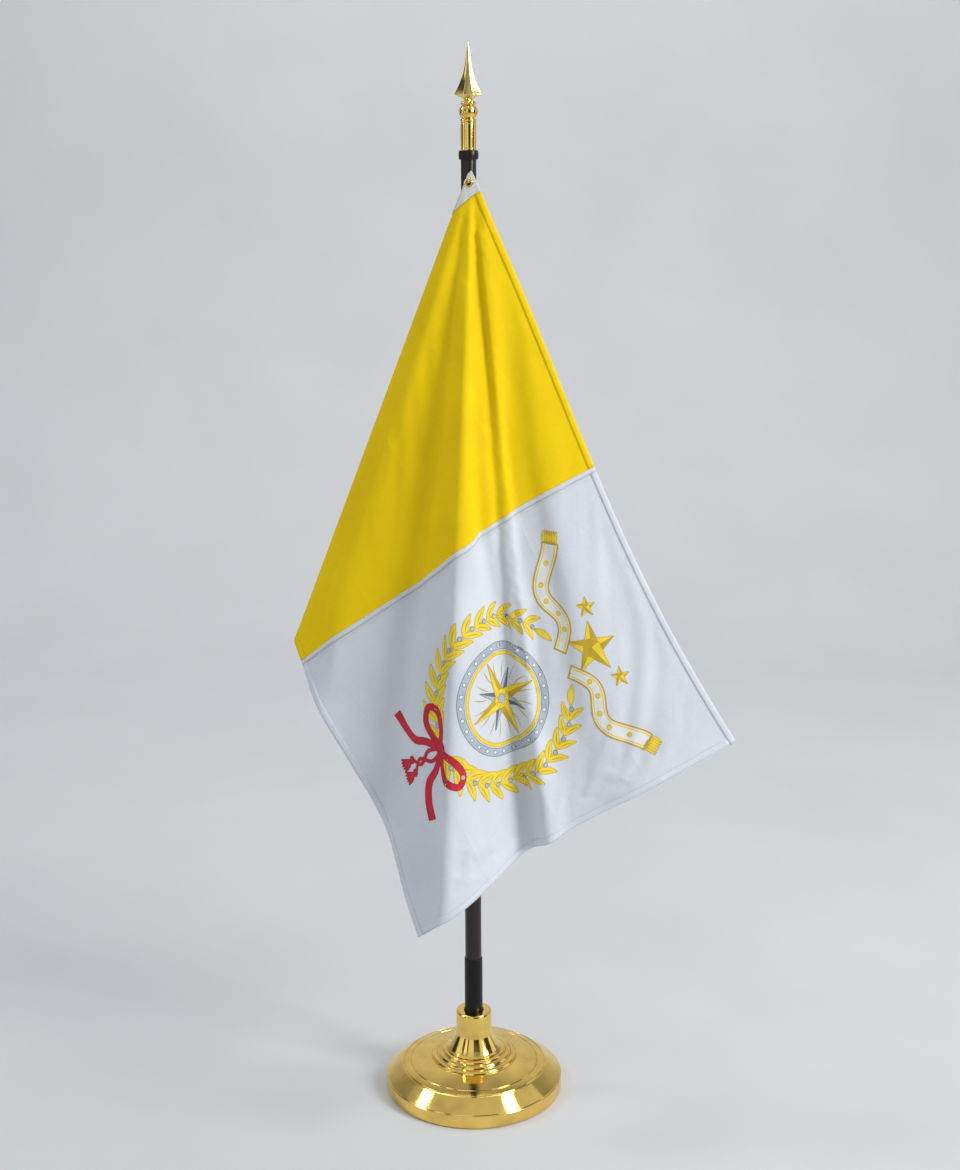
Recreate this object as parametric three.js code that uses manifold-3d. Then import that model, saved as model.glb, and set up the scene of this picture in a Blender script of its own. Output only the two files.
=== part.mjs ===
// Indoor flag stand: weighted round base, two-piece wooden pole, spear finial and a hung flag.
// Millimetres, +Z up, origin at the middle of the base underside, front of the stand towards -Y.
import * as THREE from 'three';
import { mergeVertices } from 'three/addons/utils/BufferGeometryUtils.js';
import Module from 'manifold-3d';

const wasm = await Module();
wasm.setup();

// ---- driving dimensions ----
const GAP = 0.3;
const ROUND = 40;
const SMALL = 24;

const BASE_R = 137;
const BASE_WALL_TOP = 22;
const BASE_TOP_Z = 63;
const SHEET = 1.8;
const STEM_R = 10;
const NECK_FOOT_R = 43.2;
const NECK_R = 27.6;
const NECK_TOP = 128;
const SOCKET_R = 14.3;
const SOCKET_FLOOR = 70;

const SLEEVE_R = 13.95;
const SLEEVE_TOP = 216;
const SLEEVE_BORE = 12.95;

const LOWER_R = 12.6;
const LOWER_TOP = 640;
const UPPER_R = 10.8;
const UPPER_BOTTOM = 657.3;
const UPPER_TOP = 1431;
const COUPLING_R = 14;
const COUPLING_BOTTOM = 592;
const COUPLING_TOP = 668;
const THREAD_R = 5;

const COLLAR_R = 14;
const STUD_R = 3;
const STUD_HOLE = 3.3;
const TIP_Z = 1574.5;

const HOOK_WIRE_R = 1.2;
const GROMMET_TOP_Z = 1387;
const GROMMET_BOTTOM_Z = 807;
const GROMMET_R = 6.5;
const GROMMET_HOLE_R = 2.9;
const CLOTH = 0.8;
const HEADER_FRONT_Y = -18.6;
const HEADER_BACK_Y = -16.6;
const FLAG_FRONT_Y = -143.6;
const FACET_LAP = 0.4;

// ---- materials ----
const finish = (name, color, metalness, roughness) => {
  const material = new THREE.MeshStandardMaterial({ color, metalness, roughness });
  material.name = name;
  return material;
};
const BRASS = finish('polished_brass', 0xd2a54a, 1, 0.18);
const IRON = finish('cast_iron', 0x3b3b3d, 0.8, 0.7);
const STEEL = finish('zinc_steel', 0xa9adb2, 1, 0.4);
const FELT = finish('black_felt', 0x17171a, 0, 1);
const PLASTIC = finish('black_plastic', 0x121212, 0, 0.35);
const WOOD = finish('dark_wood', 0x2b1a12, 0, 0.45);
const CANVAS = finish('white_canvas', 0xf0eee6, 0, 0.95);
const YELLOW = finish('yellow_cloth', 0xf6c915, 0, 0.9);
const WHITE = finish('white_cloth', 0xf4f4f2, 0, 0.9);

// ---- helpers ----
const part = new THREE.Group();
part.name = 'flag_stand';

const add = (name, geometry, material) => {
  const mesh = new THREE.Mesh(geometry, material);
  mesh.name = name;
  part.add(mesh);
  return mesh;
};

// Turned piece: outline of [radius, height] pairs, turned about the vertical axis.
const turned = (outline, segments = SMALL) => {
  const points = outline.map(([r, z]) => new THREE.Vector2(r, z));
  const geometry = new THREE.LatheGeometry(points, segments);
  geometry.rotateX(Math.PI / 2);
  return geometry;
};

// Closed outline for a ring or tube that does not reach the axis.
const ring = (outline, segments = SMALL) => turned([...outline, outline[0]], segments);

const cylinderAlong = (axis, radius, length, x, y, z, segments = 16) => {
  const geometry = new THREE.CylinderGeometry(radius, radius, length, segments);
  if (axis === 'x') geometry.rotateZ(Math.PI / 2);
  if (axis === 'z') geometry.rotateX(Math.PI / 2);
  geometry.translate(x, y, z);
  return geometry;
};

const toSolid = (geometry) => {
  const plain = geometry.clone();
  plain.deleteAttribute('normal');
  plain.deleteAttribute('uv');
  const welded = mergeVertices(plain, 1e-4);
  const vertProperties = new Float32Array(welded.attributes.position.array);
  const triVerts = new Uint32Array(welded.index.array);
  return new wasm.Manifold(new wasm.Mesh({ numProp: 3, vertProperties, triVerts }));
};

const fromSolid = (solid) => {
  const mesh = solid.getMesh();
  const geometry = new THREE.BufferGeometry();
  geometry.setAttribute('position', new THREE.BufferAttribute(new Float32Array(mesh.vertProperties), 3));
  geometry.setIndex(new THREE.BufferAttribute(new Uint32Array(mesh.triVerts), 1));
  geometry.computeVertexNormals();
  return geometry;
};

const cut = (geometry, ...tools) => {
  let solid = toSolid(geometry);
  for (const tool of tools) solid = solid.subtract(toSolid(tool));
  return fromSolid(solid);
};

const join = (...geometries) => {
  let solid = toSolid(geometries[0]);
  for (const other of geometries.slice(1)) solid = solid.add(toSolid(other));
  return fromSolid(solid);
};

// Flat cloth piece: outline of [x, z] pairs, given a depth in Y by depthAt(x, z).
const cloth = (outline, depthAt, thickness = CLOTH) => {
  const shape = new THREE.Shape(outline.map(([x, z]) => new THREE.Vector2(x, z)));
  const geometry = new THREE.ExtrudeGeometry(shape, { depth: thickness, bevelEnabled: false });
  geometry.rotateX(Math.PI / 2);
  const position = geometry.attributes.position;
  for (let i = 0; i < position.count; i += 1) {
    const x = position.getX(i);
    const z = position.getZ(i);
    position.setY(i, position.getY(i) + thickness / 2 + depthAt(x, z));
  }
  return geometry;
};

const depthOfPlane = (a, b, c) => {
  const plane = new THREE.Plane().setFromCoplanarPoints(a, b, c);
  const { normal, constant } = plane;
  return (x, z) => -(constant + normal.x * x + normal.z * z) / normal.y;
};

// ---- base ----
add('felt_pad', turned([[0, 0], [130, 0], [130.5, 0.5], [130.5, 2.6], [0, 2.6]], ROUND), FELT);
add('base_bottom_plate', turned([[0, 2.9], [134.8, 2.9], [134.8, 4.3], [0, 4.3]], ROUND), STEEL);

add('base_weight', ring([
  [27, 4.9], [131, 4.9], [131, 12], [127, 15], [60, 18], [34, 24],
  [30, BASE_TOP_Z - SHEET - GAP], [STEM_R + 0.6, BASE_TOP_Z - SHEET - GAP],
  [STEM_R + 0.6, 15], [27, 15],
], 32), IRON);

const shellOutside = [
  [131, 1], [136, 1], [BASE_R, 2.2], [BASE_R, BASE_WALL_TOP - 1], [136.4, BASE_WALL_TOP + 0.6],
  [113, 39], [111.4, 39.7], [109.8, 39.9], [109, 38.9], [108.2, 40.1],
  [99.8, 42.5], [98.9, 41.5], [98, 42.8], [66.5, 49.9], [64.4, 51.2],
  [62.6, 53.9], [58.2, 54.6], [56.2, 55.9], [54.6, 58.9], [50.2, 59.6],
  [48.4, 60.8], [46.8, 62.7], [43.5, BASE_TOP_Z], [STEM_R + 0.4, BASE_TOP_Z],
];
const shellInside = [
  [STEM_R + 0.4, BASE_TOP_Z - SHEET], [44.5, BASE_TOP_Z - SHEET], [47.2, 58.4], [53.2, 57.3],
  [55, 53.8], [61, 52.2], [63.2, 48.6], [97, 40.6], [109, 37.2],
  [112, 37], [BASE_R - SHEET, BASE_WALL_TOP - 1.4], [BASE_R - SHEET, 2.6], [131, 2.6],
];
add('base_shell', ring([...shellOutside, ...shellInside], ROUND), BRASS);

add('socket_neck', turned([
  [0, 5.2], [STEM_R - 1, 5.2], [STEM_R, 6.2], [STEM_R, BASE_TOP_Z + GAP],
  [NECK_FOOT_R - 0.6, BASE_TOP_Z + GAP], [NECK_FOOT_R, 64.4], [40.2, 67.2], [36.4, 73],
  [32.9, 79.5], [29.9, 85.4], [28.1, 89.4], [NECK_R, 93], [NECK_R, NECK_TOP - 3],
  [26.8, NECK_TOP - 0.9],
  [25, NECK_TOP], [16, NECK_TOP], [SOCKET_R, NECK_TOP - 1.5], [SOCKET_R, SOCKET_FLOOR],
  [0, SOCKET_FLOOR],
], 36), BRASS);

add('clamp_washer', ring([[STEM_R + 0.5, 12.7], [24, 12.7], [24, 14.7], [STEM_R + 0.5, 14.7]]), STEEL);

const nutBlank = new THREE.CylinderGeometry(17.3, 17.3, 6.5, 6);
nutBlank.rotateX(Math.PI / 2);
nutBlank.translate(0, 0, 9.15);
const stemHole = cylinderAlong('z', STEM_R + 0.3, 10, 0, 0, 9.15, SMALL);
add('clamp_nut', cut(nutBlank, stemHole), STEEL);

// ---- turning sleeve ----
add('pole_sleeve', turned([
  [0, SOCKET_FLOOR + GAP], [SLEEVE_R - 0.8, SOCKET_FLOOR + GAP], [SLEEVE_R, SOCKET_FLOOR + 1.1],
  [SLEEVE_R, SLEEVE_TOP - 0.6], [SLEEVE_R - 0.5, SLEEVE_TOP], [SLEEVE_BORE + 0.1, SLEEVE_TOP],
  [SLEEVE_BORE, SLEEVE_TOP - 0.3], [SLEEVE_BORE, 74.3], [0, 74.3],
], 28), PLASTIC);

// ---- lower pole ----
const crossPin = (radius, length, z) => cylinderAlong('x', radius, length, 0, 0, z);
const LOWER_PIN_Z = 606;
const UPPER_PIN_Z = 690;

const lowerPole = turned([
  [0, 74.6], [LOWER_R - 1, 74.6], [LOWER_R, 75.6], [LOWER_R, LOWER_TOP],
  [THREAD_R + 0.6, LOWER_TOP], [THREAD_R + 0.6, 618], [0, 618],
]);
add('pole_lower', cut(lowerPole, crossPin(1.8, 40, LOWER_PIN_Z)), WOOD);

const couplingSocket = ring([
  [LOWER_R + GAP, COUPLING_BOTTOM], [COUPLING_R, COUPLING_BOTTOM], [COUPLING_R, COUPLING_TOP],
  [12.4, COUPLING_TOP], [12.4, 648], [THREAD_R + GAP, 648],
  [THREAD_R + GAP, LOWER_TOP + GAP], [LOWER_R + GAP, LOWER_TOP + GAP],
]);
add('coupling_socket', cut(couplingSocket, crossPin(1.8, 40, LOWER_PIN_Z)), BRASS);
add('coupling_pin_lower', crossPin(1.5, 28.4, LOWER_PIN_Z), STEEL);

// ---- upper pole ----
const couplingPlug = turned([
  [0, 622], [THREAD_R - 1, 622], [THREAD_R, 623], [THREAD_R, 648.4], [12, 648.4], [12, 722],
  [UPPER_R + GAP, 722], [UPPER_R + GAP, UPPER_BOTTOM - GAP], [0, UPPER_BOTTOM - GAP],
]);
add('coupling_plug', cut(couplingPlug, crossPin(1.8, 40, UPPER_PIN_Z)), BRASS);
add('coupling_pin_upper', crossPin(1.5, 24.2, UPPER_PIN_Z), STEEL);

const HOOK_TOP_Z = GROMMET_TOP_Z + 9;
const HOOK_BOTTOM_Z = GROMMET_BOTTOM_Z + 9;
const hookHole = (z) => cylinderAlong('y', HOOK_WIRE_R + 0.6, 10, 0, -7.8, z, 16);
const upperPole = turned([
  [0, UPPER_BOTTOM], [UPPER_R, UPPER_BOTTOM], [UPPER_R, UPPER_TOP],
  [5.8, UPPER_TOP], [5.8, 1401.7], [0, 1401.7],
]);
add('pole_upper', cut(
  upperPole,
  crossPin(1.8, 40, UPPER_PIN_Z),
  hookHole(HOOK_TOP_Z),
  hookHole(HOOK_BOTTOM_Z),
), WOOD);

add('top_collar', ring([
  [UPPER_R + GAP, 1418], [12.2, 1418], [13.5, 1419.6], [COLLAR_R, 1422], [COLLAR_R, 1427],
  [13.4, 1429.4], [12.2, 1430.9], [UPPER_R + GAP, 1430.9],
]), PLASTIC);
add('finial_insert', ring([[STUD_HOLE, 1402], [5.5, 1402], [5.5, 1430.9], [STUD_HOLE, 1430.9]], 20), BRASS);

// Screw hook: shank in the pole, dip that carries the grommet, tip curled up in front.
const addHook = (name, shankZ, eyeY, eyeZ) => {
  const rest = eyeZ + GROMMET_HOLE_R - HOOK_WIRE_R - 0.8;
  const path = new THREE.CatmullRomCurve3([
    new THREE.Vector3(0, -3.2, shankZ),
    new THREE.Vector3(0, -7, shankZ),
    new THREE.Vector3(0, -10.8, shankZ),
    new THREE.Vector3(0, -12.6, shankZ - 2.2),
    new THREE.Vector3(0, eyeY + 2.8, rest + 0.7),
    new THREE.Vector3(0, eyeY, rest),
    new THREE.Vector3(0, eyeY - 2.8, rest + 0.5),
    new THREE.Vector3(0, eyeY - 5.2, rest + 3.8),
    new THREE.Vector3(0, eyeY - 5, rest + 8),
  ]);
  const wire = new THREE.Shape();
  wire.absarc(0, 0, HOOK_WIRE_R, 0, 2 * Math.PI);
  const geometry = new THREE.ExtrudeGeometry(wire, { steps: 18, curveSegments: 5, extrudePath: path });
  add(name, geometry, BRASS);
};
addHook('hook_top', HOOK_TOP_Z, HEADER_FRONT_Y, GROMMET_TOP_Z);
addHook('hook_bottom', HOOK_BOTTOM_Z, HEADER_BACK_Y, GROMMET_BOTTOM_Z);

// Two-part grommet: eyelet with its flange in front, washer behind the canvas.
const BARREL_R = 3.9;
const HEADER_HOLE_R = 4.2;
const addGrommet = (name, y, z) => {
  const front = y - CLOTH / 2 - GAP;
  const back = y + CLOTH / 2 + GAP;
  const place = (geometry) => {
    geometry.rotateX(Math.PI / 2);
    geometry.translate(0, y, z);
    return geometry;
  };
  const eyelet = ring([
    [GROMMET_HOLE_R, y - back - 1], [BARREL_R, y - back - 1], [BARREL_R, y - front],
    [GROMMET_R, y - front], [GROMMET_R, y - front + 0.3], [5.4, y - front + 1.1],
    [GROMMET_HOLE_R + 0.6, y - front + 1.1], [GROMMET_HOLE_R, y - front + 0.3],
  ], 20);
  const washer = ring([
    [HEADER_HOLE_R, y - back - 0.8], [6.2, y - back - 0.8], [GROMMET_R, y - back],
    [HEADER_HOLE_R, y - back],
  ], 20);
  add(name + '_eyelet', place(eyelet), BRASS);
  add(name + '_washer', place(washer), BRASS);
};
addGrommet('grommet_top', HEADER_FRONT_Y, GROMMET_TOP_Z);
addGrommet('grommet_bottom', HEADER_BACK_Y, GROMMET_BOTTOM_Z);

// ---- flag, hung by its top corner with the hoist side folded behind ----
const grommetHole = (y, z) => cylinderAlong('y', HEADER_HOLE_R, 6, 0, y, z, 20);
const headerFront = cloth([[3, 1402], [14.4, 1378.3], [-15, 1364.4], [-11, 1378]], () => HEADER_FRONT_Y);
const headerBack = cloth([[13, 792], [13, 1364], [-15.8, 1364], [-15.8, 792]], () => HEADER_BACK_Y);
const headerFold = new THREE.BoxGeometry(6, HEADER_BACK_Y - HEADER_FRONT_Y + CLOTH, 6);
headerFold.translate(-11.5, (HEADER_FRONT_Y + HEADER_BACK_Y) / 2, 1366.6);
add('flag_header', cut(
  join(headerFront, headerBack, headerFold),
  grommetHole(HEADER_FRONT_Y, GROMMET_TOP_Z),
  grommetHole(HEADER_BACK_Y, GROMMET_BOTTOM_Z),
), CANVAS);

// The front hangs in three facets that meet at a valley and a ridge, both running down from near the corner.
const creaseTop = new THREE.Vector3(-8, -21.5, 1366.8);
const flyTop = new THREE.Vector3(389, -68, 587);
const valleyFoot = new THREE.Vector3(113, -86, 418.3);
const ridgeFoot = new THREE.Vector3(-38, FLAG_FRONT_Y, 326);
const bottomCorner = [-87, 296];
const foldTip = new THREE.Vector3(-258, 34, 741);
const rightDepth = depthOfPlane(creaseTop, flyTop, valleyFoot);
const middleDepth = depthOfPlane(creaseTop, valleyFoot, ridgeFoot);
const leftDepth = depthOfPlane(creaseTop, ridgeFoot, foldTip);
const foldTop = new THREE.Vector3(-60, leftDepth(-60, 1249), 1249);
const flapDepth = depthOfPlane(foldTip, foldTop, new THREE.Vector3(-16.4, HEADER_BACK_Y, 792));

// Where the line from creaseTop to a crease's foot crosses the seam from right to left, as [x, z].
const onSeam = (foot, right, left) => {
  const run = [foot.x - creaseTop.x, foot.z - creaseTop.z];
  const seam = [left[0] - right[0], left[1] - right[1]];
  const away = [right[0] - creaseTop.x, right[1] - creaseTop.z];
  const along = (away[0] * seam[1] - away[1] * seam[0]) / (run[0] * seam[1] - run[1] * seam[0]);
  return [creaseTop.x + along * run[0], creaseTop.z + along * run[1]];
};
const shifted = ([x, z], by) => [x + by, z];
const flat = ({ x, z }) => [x, z];

const yellowRight = [181, 984];
const yellowLeft = [-242, 700];
const yellowValley = onSeam(valleyFoot, yellowRight, yellowLeft);
const yellowRidge = onSeam(ridgeFoot, yellowRight, yellowLeft);
add('flag_yellow_panel', join(
  cloth([[14.6, 1377.6], yellowRight, yellowValley, flat(creaseTop)], rightDepth),
  cloth([
    shifted(flat(creaseTop), FACET_LAP), shifted(yellowValley, FACET_LAP),
    shifted(yellowRidge, -FACET_LAP), shifted(flat(creaseTop), -FACET_LAP),
  ], middleDepth),
  cloth([
    flat(creaseTop), yellowRidge, yellowLeft, flat(foldTip), flat(foldTop), [-20, 1350],
  ], leftDepth),
  cloth([flat(foldTop), flat(foldTip), [-16.4, 792], [-16.4, 1240]], flapDepth),
), YELLOW);

const whiteRight = [181.4, 983.4];
const whiteLeft = [-241.6, 699.4];
const whiteValley = onSeam(valleyFoot, whiteRight, whiteLeft);
const whiteRidge = onSeam(ridgeFoot, whiteRight, whiteLeft);
add('flag_white_panel', join(
  cloth([whiteRight, flat(flyTop), flat(valleyFoot), whiteValley], rightDepth),
  cloth([
    shifted(whiteValley, FACET_LAP), shifted(flat(valleyFoot), FACET_LAP),
    shifted(flat(ridgeFoot), -FACET_LAP), shifted(whiteRidge, -FACET_LAP),
  ], middleDepth),
  cloth([whiteRidge, flat(ridgeFoot), bottomCorner, whiteLeft], leftDepth),
), WHITE);

// ---- finial ----
add('finial_stud', cylinderAlong('z', STUD_R, 108, 0, 0, 1458, 20), STEEL);
add('finial_tube', ring([
  [8.9, 1431.3], [10.8, 1431.3], [10.8, 1468.7], [STUD_HOLE, 1468.7], [STUD_HOLE, 1463],
  [8.9, 1463],
]), BRASS);
add('finial_ring', ring([
  [STUD_HOLE, 1469], [10.6, 1469], [11.4, 1470], [11.4, 1471.7], [10.6, 1472.7],
  [STUD_HOLE, 1472.7],
]), BRASS);

const ballOutline = [[STUD_HOLE, 1473], [8.6, 1473]];
for (let i = 1; i < 7; i += 1) {
  const angle = -0.87 + (1.74 * i) / 7;
  ballOutline.push([13.25 * Math.cos(angle), 1482 + 11.8 * Math.sin(angle)]);
}
ballOutline.push([8.6, 1491.1], [STUD_HOLE, 1491.1]);
add('finial_ball', ring(ballOutline), BRASS);
add('finial_bead', ring([
  [STUD_HOLE, 1491.4], [9.6, 1491.4], [10.7, 1492.8], [10.7, 1494.6], [9.4, 1496.1],
  [STUD_HOLE, 1496.1],
]), BRASS);

// Four-ridged spear: a turned blank pinched between the ridges.
const spear = turned([
  [0, 1496.4], [5, 1496.4], [6.4, 1498.6], [10.5, 1501.4], [15.5, 1503.4], [19.7, 1505],
  [19.4, 1506.6], [14.8, 1513.6], [10.3, 1524], [6.6, 1537], [4, 1550], [2.2, 1563], [0, TIP_Z],
], 32);
const spearPosition = spear.attributes.position;
for (let i = 0; i < spearPosition.count; i += 1) {
  const x = spearPosition.getX(i);
  const y = spearPosition.getY(i);
  const z = spearPosition.getZ(i);
  const turn = Math.atan2(y, x) / (Math.PI / 2);
  const offRidge = Math.abs(turn - Math.round(turn)) * 2;
  const reach = THREE.MathUtils.smoothstep(z, 1496.4, 1503);
  const pinch = 1 - reach * 0.52 * Math.sin((offRidge * Math.PI) / 2) ** 0.8;
  spearPosition.setXYZ(i, x * pinch, y * pinch, z);
}
spear.computeVertexNormals();
const spearBore = cylinderAlong('z', STUD_HOLE, 18, 0, 0, 1504, 20);
add('finial_spear', cut(spear, spearBore), BRASS);

export default part;
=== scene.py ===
"""Indoor flag stand: brass base, two-section wooden pole, spear finial and a hung flag.

Outlines and the flag's cut are in millimetres, and make_mesh turns them into metres. Materials, stage, lights
and camera are in metres.
"""

import math

import bmesh
import bpy
import numpy as np
from mathutils import Matrix, Vector


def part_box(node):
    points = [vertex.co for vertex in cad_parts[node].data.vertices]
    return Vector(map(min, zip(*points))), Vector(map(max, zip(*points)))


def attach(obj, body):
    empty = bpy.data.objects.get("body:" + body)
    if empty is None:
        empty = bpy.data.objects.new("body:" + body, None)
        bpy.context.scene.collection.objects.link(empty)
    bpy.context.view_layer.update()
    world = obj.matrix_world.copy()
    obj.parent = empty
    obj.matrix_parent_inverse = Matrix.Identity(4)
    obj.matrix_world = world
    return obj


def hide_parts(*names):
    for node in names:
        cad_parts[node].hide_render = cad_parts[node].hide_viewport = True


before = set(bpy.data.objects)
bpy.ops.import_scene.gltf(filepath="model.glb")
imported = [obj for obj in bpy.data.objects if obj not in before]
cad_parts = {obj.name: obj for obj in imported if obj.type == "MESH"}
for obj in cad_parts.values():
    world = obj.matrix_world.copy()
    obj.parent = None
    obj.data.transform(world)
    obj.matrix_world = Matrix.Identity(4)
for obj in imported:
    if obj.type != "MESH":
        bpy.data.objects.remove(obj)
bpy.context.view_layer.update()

MM = 0.001
TINY = 1e-9
# Points this close count as one, and a radius this small is on the axis.
TOUCHING = 1e-6
TURNED_SEGMENTS = 160

# ---- the flag's cut, in millimetres: u runs from hoist to fly, v from the top edge down ----
FLY = 914.0
HOIST = 610.0
HEADER_W = 31.0
SEAM_U = 457.0
HEM = 11.0
HEM_ROW = HEM - 1.5
CLOTH_THICK = 0.5
CORNER = np.array([3.0, -18.6, 1402.0])
FOLD_START = np.array([0.0, 8.0])
FOLD_END = np.array([411.0, 610.0])
GRID_STEP = 7.9
# How far in from the edges each eyelet is, and the y and z at which its hook holds it.
EYELET_IN = 13.0
HOOK_EYES = {"top": (-18.6, 1387.0), "bottom": (-16.6, 807.0)}


# ================================================================= small helpers
def extent(node):
    """A turned node's outer radius, bottom and top, in millimetres."""
    low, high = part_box(node)
    return high[0] / MM, low[2] / MM, high[2] / MM


def smoothstep(x, low, high):
    t = np.clip((np.asarray(x, float) - low) / (high - low), 0, 1)
    return t * t * (3 - 2 * t)


def unit(vectors):
    """The vectors at length 1."""
    return vectors / np.maximum(np.linalg.norm(vectors, axis=-1, keepdims=True), TINY)


def polar(radius, angle):
    """Points of a plane at that radius and angle."""
    return np.stack([radius * np.cos(angle), radius * np.sin(angle)], -1)


def left_of(way):
    """The directions in a plane, turned a quarter to the left."""
    return np.stack([-way[..., 1], way[..., 0]], -1)


def around(count):
    """Evenly spaced angles all the way round."""
    return np.arange(count) * 2 * math.pi / count


def spline(points, n):
    """A smooth curve through the points, as n points."""
    points = np.array(points, float)
    k = len(points)
    padded = np.vstack([2 * points[0] - points[1], points, 2 * points[-1] - points[-2]])
    t = np.linspace(0, k - 1, n)
    i = np.minimum(t.astype(int), k - 2)
    f = (t - i)[:, None]
    a, b, c, d = (padded[i + j] for j in range(4))
    square, cube = (2 * a - 5 * b + 4 * c - d) * f**2, (3 * b - a - 3 * c + d) * f**3
    return 0.5 * (2 * b + (c - a) * f + square + cube)


def make_mesh(name, points_mm, faces, material, smooth=True, uv=None):
    mesh = bpy.data.meshes.new(name)
    mesh.from_pydata([tuple(p) for p in np.asarray(points_mm, float) * MM], [], faces)
    if uv is not None:
        layer = mesh.uv_layers.new(name="cloth")
        loops = np.zeros(len(mesh.loops), int)
        mesh.loops.foreach_get("vertex_index", loops)
        layer.data.foreach_set("uv", (np.asarray(uv, float)[loops] * MM).ravel())
    mesh.polygons.foreach_set("use_smooth", [smooth] * len(mesh.polygons))
    mesh.update()
    obj = bpy.data.objects.new(name, mesh)
    bpy.context.scene.collection.objects.link(obj)
    mesh.materials.append(material)
    return obj


def sharpen(obj, degrees):
    """Splits the edges that bend more than that, so that they shade sharp."""
    obj.modifiers.new("crease", "EDGE_SPLIT").split_angle = math.radians(degrees)


def piece(obj, body, slot, *nodes):
    """Rides on a body and stands for the CAD nodes named; the slot is not used."""
    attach(obj, body)
    if nodes:
        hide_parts(*nodes)
    return obj


def grid_faces(rows, columns):
    """Quads between the points of a grid."""
    starts = [j * columns + i for j in range(rows - 1) for i in range(columns - 1)]
    return [[a, a + 1, a + columns + 1, a + columns] for a in starts]


def ring_faces(rings, sides, first=0):
    """Quads between neighbouring rings of points, of which the first ring starts at that point."""
    faces = []
    for start in range(first, first + (rings - 1) * sides, sides):
        for k in range(sides):
            n = (k + 1) % sides
            faces.append([start + k, start + n, start + sides + n, start + sides + k])
    return faces


def cap_faces(start, sides, tip, flip=False):
    """Triangles from the ring that starts at that point to its tip."""
    faces = [[start + k, start + (k + 1) % sides, tip] for k in range(sides)]
    return [face[::-1] for face in faces] if flip else faces


def rounded(outline, radius, steps=5, closed=False):
    """The outline with each corner rounded to about that radius, where there is room for it."""
    nearly_straight, share = 1.53, 0.45
    points = [np.array(p, float) for p in outline]
    out = []
    count = len(points)
    for i, p in enumerate(points):
        if not closed and i in (0, count - 1):
            out.append(p)
            continue
        before, after = points[i - 1] - p, points[(i + 1) % count] - p
        la, lb = np.linalg.norm(before), np.linalg.norm(after)
        before, after = before / la, after / lb
        half = math.acos(float(np.clip(before @ after, -1, 1))) / 2
        if half > nearly_straight or p[0] < TOUCHING:
            out.append(p)
            continue
        reach = min(radius / math.tan(half), share * la, share * lb)
        a, b = p + before * reach, p + after * reach
        for k in range(steps + 1):
            t = k / steps
            out.append((1 - t) ** 2 * a + 2 * t * (1 - t) * p + t * t * b)
    return out


def turned(name, outline, material, closed=False, segments=TURNED_SEGMENTS, corner=0.3):
    """A turned piece from its outline of radius and height."""
    points, rows = [], []
    for r, z in rounded(outline, corner, closed=closed):
        if r < TOUCHING:
            rows.append([len(points)] * segments)
            points.append((0, 0, z))
            continue
        rows.append(list(range(len(points), len(points) + segments)))
        points += [(x, y, z) for x, y in polar(r, around(segments))]
    pairs = list(zip(rows, rows[1:]))
    if closed:
        pairs.append((rows[-1], rows[0]))
    faces = []
    for low, high in pairs:
        for k in range(segments):
            n = (k + 1) % segments
            face = list(dict.fromkeys([low[k], low[n], high[n], high[k]]))
            if len(face) > 2:
                faces.append(face)
    obj = make_mesh(name, points, faces, material)
    sharpen(obj, 50)
    return obj


def fitting(name, node, body, slot, material, outline, **how):
    """A turned piece that stands for one CAD node."""
    return piece(turned(name, outline, material, **how), body, slot, node)


def tube(name, path, radius, material, sides=20, dome=0.6):
    """A round wire with domed ends along a smooth path."""
    path = np.asarray(path, float)
    along = unit(np.gradient(path, axis=0))
    side = np.array([1.0, 0, 0])
    across = unit(side - along * (along @ side)[:, None])
    up = np.cross(along, across)
    turn = polar(radius, around(sides))
    rings = path[:, None] + turn[:, :1] * across[:, None] + turn[:, 1:] * up[:, None]
    tips = [path[0] - along[0] * radius * dome, path[-1] + along[-1] * radius * dome]
    last = (len(path) - 1) * sides
    faces = ring_faces(len(path), sides)
    faces += cap_faces(0, sides, last + sides, flip=True) + cap_faces(last, sides, last + sides + 1)
    return make_mesh(name, np.vstack([rings.reshape(-1, 3), tips]), faces, material)


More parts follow.
